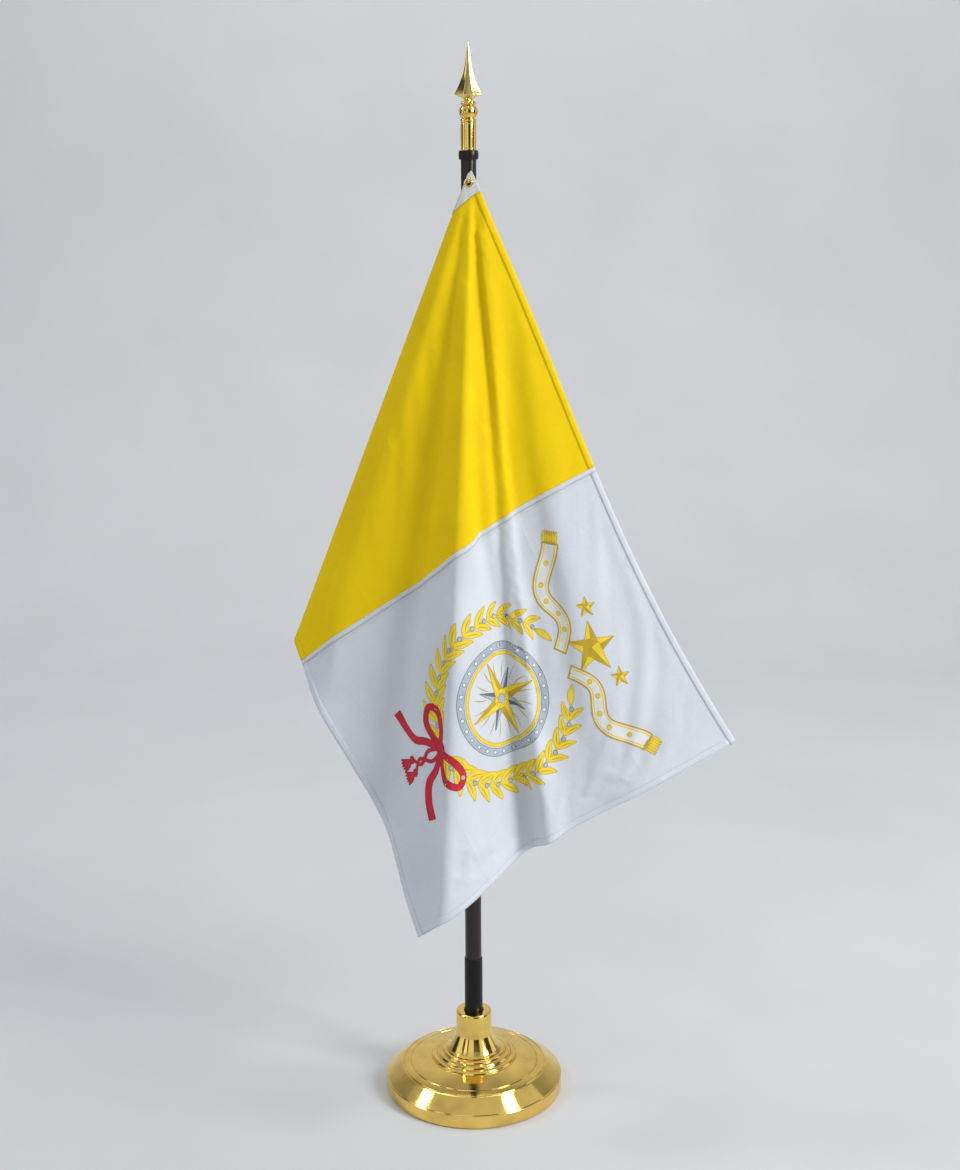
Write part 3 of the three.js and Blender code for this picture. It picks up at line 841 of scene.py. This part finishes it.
def hold_weights(u, v):
    """How firmly each point of the cloth is held where it starts, from 0 to 1."""
    across = np.abs((u - FOLD_START[0]) * FOLD_NORMAL[0] + (v - FOLD_START[1]) * FOLD_NORMAL[1])
    holds = [np.full(u.shape, HOLD_ALL), HOLD_FOLD * (1 - smoothstep(across, *FOLD_HELD))]
    holds.append(HOLD_HEADING * (u < HEADER_W + 1))
    for edge, firmness in zip((v, FLY - u, HOIST - v), HOLD_EDGES):
        holds.append(firmness * (1 - smoothstep(edge, *EDGE_HELD)))
    for (cu, cv), firmness in HOLD_CORNERS:
        holds.append(firmness * (1 - smoothstep(np.hypot(u - cu, v - cv), *CORNER_HELD)))
    for (cu, cv), _ in EYELETS:
        holds.append((np.hypot(u - cu, v - cv) < EYELET_HELD).astype(float))
    return np.maximum.reduce(holds)


def settle(u, v, points):
    """Lets the cloth fall and rub against itself with Blender's Cloth, and returns where it comes to."""
    obj = make_mesh("cloth_to_settle", points, grid_faces(*u.shape), YELLOW)
    held = obj.vertex_groups.new(name="held")
    for i, weight in enumerate(hold_weights(u, v).ravel()):
        held.add([i], float(weight), "REPLACE")
    cloth = obj.modifiers.new("cloth", "CLOTH")
    for owner, values in (
        (cloth.settings, CLOTH_SETTINGS), (cloth.settings.effector_weights, dict(gravity=0.6)),
        (cloth.collision_settings, CLOTH_TOUCH),
        (cloth.point_cache, dict(frame_start=1, frame_end=SETTLE_FRAMES)),
    ):
        for key, value in values.items():
            setattr(owner, key, value)
    scene = bpy.context.scene
    for f in range(1, SETTLE_FRAMES + 1):
        scene.frame_set(f)
    settled = obj.evaluated_get(bpy.context.evaluated_depsgraph_get()).to_mesh()
    out = np.zeros(len(settled.vertices) * 3)
    settled.vertices.foreach_get("co", out)
    bpy.data.objects.remove(obj)
    scene.frame_set(1)
    return out.reshape(-1, 3) / MM


def pad_grid(grid):
    """One more row and column all round, carried straight on."""
    grid = np.concatenate([2 * grid[:1] - grid[1:2], grid, 2 * grid[-1:] - grid[-2:-1]], 0)
    return np.concatenate([2 * grid[:, :1] - grid[:, 1:2], grid, 2 * grid[:, -1:] - grid[:, -2:-1]], 1)


def settling():
    """How far the cloth moves from its start when it is let fall, on a grid of its cut."""
    columns = int(round(FLY / GRID_STEP)) + 1
    rows = int(round(HOIST / GRID_STEP)) + 1
    u, v = np.meshgrid(np.linspace(0, FLY, columns), np.linspace(0, HOIST, rows))
    start = seated(u, v)
    return pad_grid(settle(u, v, start.reshape(-1, 3)).reshape(start.shape) - start)


SETTLED = settling()


def spline_weights(f):
    """How much each of four points in a row counts at that fraction of the way between the middle two."""
    return (
        0.5 * (-f + 2 * f**2 - f**3), 0.5 * (2 - 5 * f**2 + 3 * f**3), 0.5 * (f + 4 * f**2 - 3 * f**3),
        0.5 * (-(f**2) + f**3),
    )


def surface(u, v):
    """Points of the hung cloth at the cloth's own u and v: where they start, and how far they settle."""
    rows, columns = SETTLED.shape[0] - 2, SETTLED.shape[1] - 2
    x = np.clip(np.asarray(u, float) / FLY * (columns - 1), 0, columns - 1 - TOUCHING)
    y = np.clip(np.asarray(v, float) / HOIST * (rows - 1), 0, rows - 1 - TOUCHING)
    i, j = x.astype(int), y.astype(int)
    out = seated(u, v)
    for dy, wy in enumerate(spline_weights(y - j)):
        for dx, wx in enumerate(spline_weights(x - i)):
            out = out + (wy * wx)[..., None] * SETTLED[j + dy, i + dx]
    return out


def facing(u, v):
    """Unit normals of the hung cloth, on the side that is its front."""
    step = 1.5
    across = surface(u + step, v) - surface(u - step, v)
    down = surface(u, v + step) - surface(u, v - step)
    return unit(np.cross(across, down))


def sheet_faces(quads, count):
    """Faces of a closed sheet: the quads, the same quads count points later, and the walls between them."""
    edges = {(q[k], q[(k + 1) % 4]) for q in quads for k in range(4)}
    faces = quads + [[count + q for q in reversed(quad)] for quad in quads]
    return faces + [[b, a, count + a, count + b] for a, b in sorted(edges) if (b, a) not in edges]


def cloth_panel(name, u_edges, v_edges, material, thickness=CLOTH_THICK, lift=0.0, step=4.0, holes=()):
    """A closed piece of the flag between those edges of the cut, its thickness either side of the cloth."""
    columns, rows = (max(2, int(round((high - low) / step)) + 1) for low, high in (u_edges, v_edges))
    u, v = np.meshgrid(np.linspace(*u_edges, columns), np.linspace(*v_edges, rows))
    middle, normal = surface(u, v), facing(u, v)
    points = [(middle + normal * (lift + side)).reshape(-1, 3) for side in (thickness / 2, -thickness / 2)]
    uv = np.concatenate([np.stack([u, v], -1).reshape(-1, 2)] * 2)
    quads = [
        q for q in grid_faces(rows, columns)
        if all(math.dist((uv[q[0]] + uv[q[2]]) / 2, hole) > EYELET_HOLE for hole in holes)
    ]
    return make_mesh(name, np.concatenate(points), sheet_faces(quads, rows * columns), material, uv=uv)


def stitching(name, rows, material):
    """Lock stitches on both faces along rows of (from u, v, to u, v, half the thickness there)."""
    pitch, first, length, wide, tall, deep, tip = 3.4, 0.4, 2.8, 0.32, 0.34, 0.12, 0.05
    ends, outward = [], []
    for u1, v1, u2, v2, half in rows:
        reach = math.hypot(u2 - u1, v2 - v1)
        way = np.array([u2 - u1, v2 - v1]) / reach
        for k in range(int(reach / pitch)):
            start = np.array([u1, v1]) + way * (k * pitch + first)
            ends += [(start, start + way * length)] * 2
            outward += [half, -half]
    ends, outward = np.array(ends), np.array(outward)[:, None]
    middle = ends.mean(1)
    normal = facing(middle[:, 0], middle[:, 1]) * np.sign(outward)
    a, b = (surface(ends[:, i, 0], ends[:, i, 1]) + normal * np.abs(outward) for i in (0, 1))
    across = unit(np.cross(normal, b - a))
    sides = (across * wide, normal * tall, -across * wide, -normal * deep)
    rings = [a + (b - a) * t + side for t in (0.22, 0.78) for side in sides]
    points = np.stack([a - tip * normal] + rings + [b - tip * normal], 1)
    count = points.shape[1]
    stitch = cap_faces(1, 4, 0, flip=True) + ring_faces(2, 4, first=1) + cap_faces(5, 4, count - 1)
    faces = [[i * count + q for q in face] for i in range(len(points)) for face in stitch]
    return make_mesh(name, points.reshape(-1, 3), faces, material)


def build_flag():
    whole = (0, HOIST)
    eyelets = [place for place, _ in EYELETS]
    header = cloth_panel("flag_heading", (0, HEADER_W), whole, CANVAS, thickness=1.1, step=2.0, holes=eyelets)
    yellow = cloth_panel("flag_yellow_half", (HEADER_W + 0.2, SEAM_U), whole, YELLOW)
    white = cloth_panel("flag_white_half", (SEAM_U + 0.1, FLY), whole, WHITE)
    piece(header, "upper_pole", "canvas", "flag_header")
    piece(yellow, "upper_pole", "yellow_cloth", "flag_yellow_panel")
    piece(white, "upper_pole", "white_cloth", "flag_white_panel")
    with_yellow, with_white = build_hems()
    with_white += build_ornament()
    build_heading_stitches()


def build_heading_stitches():
    rows = [(HEADER_W - x, 1, HEADER_W - x, HOIST - 1, 0.55) for x in (2, 6)]
    return piece(stitching("heading_stitches", rows, THREAD_WHITE), "upper_pole", "canvas")


def build_hems():
    """The turned-back edges, the felled seam between the halves, and the stitches that hold them."""
    behind = -CLOTH_THICK - 0.02
    seam, stitch_half, seam_half = 7, 0.28, 0.74
    top, bottom = (0, HEM), (HOIST - HEM, HOIST)
    yellow_u, white_u = (HEADER_W + 0.4, SEAM_U - seam), (SEAM_U + 0.3, FLY)
    made = {"yellow_cloth": [], "white_cloth": []}
    for name, u_edges, v_edges, material in (
        ("yellow_top_hem", yellow_u, top, YELLOW), ("yellow_bottom_hem", yellow_u, bottom, YELLOW),
        ("white_top_hem", white_u, top, WHITE), ("white_bottom_hem", white_u, bottom, WHITE),
        ("fly_hem", (FLY - HEM, FLY), (HEM + 0.3, HOIST - HEM - 0.3), WHITE),
    ):
        slot = "yellow_cloth" if material is YELLOW else "white_cloth"
        hem = cloth_panel(name, u_edges, v_edges, material, lift=behind)
        made[slot].append(piece(hem, "upper_pole", slot))
    for name, u_edges, lift in (
        ("centre_seam_front", (SEAM_U, SEAM_U + seam), CLOTH_THICK),
        ("centre_seam_back", (SEAM_U - seam + 0.3, SEAM_U), behind),
    ):
        strip = cloth_panel(name, u_edges, (0.2, HOIST - 0.2), WHITE, lift=lift, step=3.4)
        made["white_cloth"].append(piece(strip, "upper_pole", "white_cloth"))
    hem_rows = (HEM_ROW, HOIST - HEM_ROW)
    yellow_rows = [(HEADER_W + 3, v, SEAM_U - seam - 1, v, stitch_half) for v in hem_rows]
    white_rows = [(SEAM_U + seam + 1, v, FLY - HEM_ROW, v, stitch_half) for v in hem_rows]
    white_rows.append((FLY - HEM_ROW, HEM_ROW, FLY - HEM_ROW, HOIST - HEM_ROW, stitch_half))
    white_rows += [(SEAM_U + x, 1, SEAM_U + x, HOIST - 1, seam_half) for x in (1.5, seam - 1.5)]
    for name, rows, material, slot in (
        ("yellow_hem_stitches", yellow_rows, THREAD_YELLOW, "yellow_cloth"),
        ("white_hem_stitches", white_rows, THREAD_WHITE, "white_cloth"),
    ):
        made[slot].append(piece(stitching(name, rows, material), "upper_pole", slot))
    return made["yellow_cloth"], made["white_cloth"]


# ================================================================= flag: printed ornament
ORNAMENT = np.array([685.0, 305.0])


class Print:
    """Flat strips of ink on both faces of the cloth, x towards the fly and y towards the top edge."""

    def __init__(self):
        self.strips = {colour: [] for colour in INKS}

    def strip(self, colour, path, width, layer=0, line=None, edge=1.6):
        """A strip along the path, as wide as width says, with a darker edge if line names its ink."""
        path = np.asarray(path, float)
        width = np.broadcast_to(np.asarray(width, float), len(path))
        if line:
            tips = unit(np.array([path[0] - path[1], path[-1] - path[-2]])) * edge / 2
            longer = path
            if np.linalg.norm(path[0] - path[-1]) > TOUCHING:
                longer = np.vstack([path[:1] + tips[:1], path[1:-1], path[-1:] + tips[1:]])
            self.strips[line].append((longer, width + edge, layer))
        self.strips[colour].append((path, width, layer + 1 if line else layer))

    def leaf(self, colour, root, angle, length, width, layer=0, line=None):
        """A leaf that bows a little to the left, widest just before its middle."""
        t = np.linspace(0, 1, max(6, int(length / 4)))
        way = polar(1, angle)
        bow = left_of(way) * 0.06 * length
        path = np.asarray(root, float) + t[:, None] * way * length + np.sin(np.pi * t)[:, None] * bow
        self.strip(colour, path, width * np.sin(np.pi * np.clip(t, 0.02, 0.985) ** 0.85) ** 0.8, layer, line)

    def ray(self, centre, angle, reach, wide, colours, layer, steps):
        """A pointed ray in two halves, the second in a darker ink, so that it looks raised."""
        t = np.linspace(0, 1, steps)
        way = polar(1, angle)
        width = wide * (1 - t) + 0.05
        for half, colour in zip((0.5, -0.5), colours):
            path = np.asarray(centre) + way * reach * t[:, None] + left_of(way) * half * width[:, None]
            self.strip(colour, path, width, layer, colours[1])

    def ring(self, colour, centre, radius, width, layer=0, line=None):
        a = np.linspace(0, 2 * np.pi, max(12, int(radius * 1.3)) + 1)
        path = np.asarray(centre, float) + polar(radius, a)
        path[-1] = path[0]
        self.strip(colour, path, width, layer, line)

    def disc(self, colour, centre, radius, layer=0, line=None):
        self.ring(colour, centre, radius / 2, radius * 0.98, layer, line)

    def mesh(self, name, colour):
        """All strips of one ink, each a thin closed solid that sits in both faces of the cloth."""
        inside, outside, per_layer, widest = 0.2, 0.42, 0.06, 5
        cut, lifts, faces = [], [], []
        for path, width, layer in self.strips[colour]:
            across = np.gradient(path, axis=0)
            if np.linalg.norm(path[0] - path[-1]) < TOUCHING:
                across[0] = across[-1] = path[1] - path[-2]
            across = left_of(unit(across))
            columns = max(2, int(math.ceil(width.max() / widest)) + 1)
            offsets = np.linspace(-0.5, 0.5, columns)
            flat = path[:, None] + across[:, None] * (width[:, None] * offsets)[..., None]
            count = len(path) * columns
            for face in (1, -1):
                quads = [[len(cut) + q for q in quad] for quad in grid_faces(len(path), columns)]
                faces += sheet_faces(quads, count)
                cut += flat.reshape(-1, 2).tolist() * 2
                lifts += [(outside + per_layer * layer) * face] * count + [inside * face] * count
        cut = np.array(cut)
        u, v = ORNAMENT[0] + cut[:, 0], ORNAMENT[1] - cut[:, 1]
        points = surface(u, v) + facing(u, v) * np.array(lifts)[:, None]
        obj = make_mesh(name, points, faces, INKS[colour], smooth=False, uv=np.stack([u, v], -1))
        mend = bmesh.new()
        mend.from_mesh(obj.data)
        bmesh.ops.recalc_face_normals(mend, faces=mend.faces)
        mend.to_mesh(obj.data)
        mend.free()
        return obj


def draw_wreath(ink):
    """Two laurel branches, crossed at the foot and open at the top."""
    radius, steps, pairs, spread = 124, 44, 13, 0.62
    for side in (1, -1):
        stem = polar(radius, np.radians(np.linspace(-97, 60, steps))) * (side, 1) - (0, 4)
        ink.strip("gold", stem, np.linspace(5.5, 2.2, steps), 0, "gold_line")
        for k in range(pairs):
            i = 4 + 3 * k
            ahead = stem[min(i + 1, steps - 1)] - stem[i - 1]
            way = math.atan2(ahead[1], ahead[0])
            size = 1 - 0.022 * k
            for lean in (way + spread, way - spread):
                ink.leaf("gold", stem[i], lean, 40 * size, 12.5 * size, 2, "gold_line")
                ink.leaf("gold_line", stem[i] + polar(5, lean), lean, 27 * size, 1.5, 4)
            ink.disc("silver", stem[i] + polar(17, way), 3.2, 5, "grey_line")
        end = stem[-1] - stem[-2]
        ink.leaf("gold", stem[-1], math.atan2(end[1], end[0]), 30, 10, 2, "gold_line")


def draw_medallion(ink):
    """A ring of beads round a faceted eight-point rose."""
    centre, band, rays = (0, 0), 79, 16
    ink.ring("silver", centre, band, 11, 0, "grey_line")
    ink.ring("gold", centre, 68, 4, 0, "gold_line")
    for a in around(28):
        ink.disc("paper", polar(band, a), 2.6, 3, "grey_line")
    for a in around(rays) + math.pi / rays:
        ink.leaf("gold_line", polar(30, a), a, 28, 1.6, 0)
    for reach, wide, colours, start, layer in (
        (46, 9, ("silver", "grey_line"), math.pi / 4, 2), (62, 11, ("gold", "gold_line"), 0, 6),
    ):
        for k, a in enumerate(around(4) + start):
            ink.ray(centre, a, reach, wide, colours, layer + 0.3 * k, 14)
    ink.disc("gold", centre, 14, 9, "gold_line")
    ink.disc("silver", centre, 7, 12, "grey_line")
    for a in around(8):
        ink.disc("gold_line", polar(10.6, a), 1.4, 12)


def draw_star(ink, centre, radius):
    for k, a in enumerate(around(5) + math.pi / 2):
        steps = max(5, int(radius / 4))
        ink.ray(centre, a, radius, radius * 0.36, ("gold", "gold_line"), 1 + 0.4 * k, steps)


def draw_bow(ink):
    """A red ribbon tied at the foot of the wreath, with two cords that end in tassels."""
    knot = np.array([0, -132.0])
    ribbons = (
        ([(4, 0), (26, 14), (52, 18), (64, 4), (48, -10), (24, -8), (4, 0)], 40, 9, 9, 5),
        ([(4, -4), (22, -24), (34, -46), (58, -60), (84, -66)], 34, 9, 12, 3),
        ([(2, -4), (8, -26), (-4, -48), (10, -66)], 26, 4.2, 4.2, 3),
    )
    for side in (1, -1):
        flip = np.array([side, 1])
        for route, steps, wide_from, wide_to, layer in ribbons:
            width = np.linspace(wide_from, wide_to, steps)
            ink.strip("red", knot + spline(route, steps) * flip, width, layer, "red_line")
        ink.disc("red", knot + flip * (10, -68), 5.5, 7, "red_line")
        for k in range(5):
            lean = -math.pi / 2 + (k - 2) * 0.2
            lean = lean if side > 0 else math.pi - lean
            ink.leaf("red", knot + flip * (10, -71), lean, 24, 5, 5, "red_line")
    ink.disc("red", knot, 10, 9, "red_line")


def draw_scrolls(ink):
    """Pale ribbons with gold edges that float beside the star."""
    steps, waves, wave = 60, 1.2, 15
    t = np.linspace(0, 1, steps)
    width = np.linspace(17, 25, steps)
    for side in (1, -1):
        path = np.stack([18 + 146 * t, 126 + 44 * t + wave * np.sin(2 * waves * np.pi * t)], 1) * (side, 1)
        run = unit(np.gradient(path, axis=0))
        off = left_of(run)
        ink.strip("paper", path, width, 3, "gold_line", edge=5)
        for edge in (1, -1):
            ink.strip("gold", path + off * (edge * (width / 2 - 2.6))[:, None], 2.2, 5)
        for k in range(10, steps, 10):
            ink.disc("gold", path[k], 3.4, 5, "gold_line")
        for k in range(6):
            root = path[-1] + off[-1] * (k - 2.5) * 4.3 + run[-1] * 2.4
            ink.leaf("gold", root, math.atan2(run[-1, 1], run[-1, 0]), 17, 4, 5, "gold_line")


def build_ornament():
    ink = Print()
    draw_scrolls(ink)
    draw_wreath(ink)
    draw_medallion(ink)
    for centre, radius in (((0, 176), 40), ((58, 196), 15), ((-58, 196), 15)):
        draw_star(ink, centre, radius)
    draw_bow(ink)
    return [piece(ink.mesh("print_" + colour, colour), "upper_pole", "white_cloth") for colour in INKS]


# ================================================================= hidden CAD pieces keep their shape
def finish_cad_nodes():
    for node, material in (
        ("base_weight", IRON), ("clamp_washer", STEEL), ("clamp_nut", STEEL), ("coupling_pin_lower", STEEL),
        ("coupling_pin_upper", STEEL), ("finial_insert", BRASS_PLAIN), ("finial_stud", STEEL),
    ):
        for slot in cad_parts[node].material_slots:
            slot.material = material


# ================================================================= stage, light and camera, in metres
BACKDROP = 0.6


def build_stage():
    """A pale floor that sweeps up into a wall."""
    front, back, sweep, wall_top, half_width, steps = -9, 2.2, 1.4, 7, 9, 12
    profile = [(front, 0), (back, 0)]
    for k in range(1, steps + 1):
        a = math.pi / 2 * k / steps
        profile.append((back + sweep * math.sin(a), sweep - sweep * math.cos(a)))
    profile.append((back + sweep, wall_top))
    points = np.array([(x, y, z) for y, z in profile for x in (-half_width, half_width)]) / MM
    m = Nodes("pale_floor")
    tones = m.ramp(m.noise(m.place(), 3, 3), (0.3, (0.60, 0.61, 0.62)), (0.7, (0.63, 0.64, 0.65)))
    m.set(Roughness=0.75, Specular_IOR_Level=0.2, Base_Color=tones)
    make_mesh("floor", points, grid_faces(len(profile), 2), m.owner)


def studio_world():
    """A soft studio all round: bright overhead, and tall pale panels with dim gaps between them at eye level.

    Past the floor and the wall it shows as one plain pale backdrop.
    """
    panel_count, dim, bright, overhead = 6.0, 0.04, 0.9, 0.6
    m = Nodes("studio", world=True)
    bpy.context.scene.world = m.owner
    x, y, z = m.split(m.add("ShaderNodeTexCoord").outputs["Generated"])
    wave = m.maths("SINE", m.times(m.maths("ARCTAN2", y, x), panel_count))
    panels = m.spread(wave, dim, bright, -0.15, 0.35, "SMOOTHSTEP")
    sky = m.spread(z, 0.0, 1.0, 0.3, 0.85, "SMOOTHSTEP")
    low, high = m.times(panels, m.maths("SUBTRACT", 1.0, sky)), m.times(sky, overhead)
    level = m.plus(low, high)
    seen = m.add("ShaderNodeLightPath").outputs["Is Camera Ray"]
    plain = m.times(seen, m.maths("SUBTRACT", BACKDROP, level))
    m.set(Strength=m.plus(level, plain), Color=(0.92, 0.95, 1.0, 1))


def area_light(name, place, target, size, power, colour=(1, 1, 1)):
    light = bpy.data.lights.new(name, "AREA")
    light.shape = "RECTANGLE"
    light.size, light.size_y = size
    light.energy = power
    light.color = colour
    obj = bpy.data.objects.new(name, light)
    bpy.context.scene.collection.objects.link(obj)
    obj.location = place
    obj.rotation_euler = (Vector(target) - Vector(place)).to_track_quat("-Z", "Y").to_euler()


def build_light():
    bpy.context.scene.view_settings.view_transform = "Standard"
    studio_world()
    flag, base = (0, 0, 0.8), (0, 0, 0.1)
    area_light("key", (3.1, -1.9, 2.5), flag, (1.1, 1.6), 98, (1, 0.985, 0.96))
    area_light("fill", (-2.6, -2.8, 1.5), flag, (0.9, 2.0), 6, (0.93, 0.96, 1))
    area_light("top_left", (-2.7, 0.35, 3.5), base, (0.7, 0.55), 22)
    area_light("top_right", (1.9, -0.38, 3.5), base, (0.6, 0.5), 18)
    area_light("wall", (0.0, 1.2, 3.4), (0, 3.4, 1.4), (3.0, 0.8), 30)


def build_camera():
    """The view that the stand is seen from: near the finial's height, looking down a little."""
    place, down, roll = (0.013, -2.4788, 1.4311), 14.04, -0.28
    camera = bpy.data.cameras.new("camera")
    camera.lens = 53.52
    camera.clip_end = 60
    obj = bpy.data.objects.new("camera", camera)
    bpy.context.scene.collection.objects.link(obj)
    tilt = Matrix.Rotation(math.radians(90 - down), 4, "X") @ Matrix.Rotation(math.radians(roll), 4, "Z")
    obj.matrix_world = Matrix.Translation(place) @ tilt
    bpy.context.scene.camera = obj


build_base()
build_lower_pole()
build_coupling()
build_upper_pole()
build_hooks()
build_grommets()
build_finial()
build_spear()
build_flag()
finish_cad_nodes()
build_stage()
build_light()
build_camera()
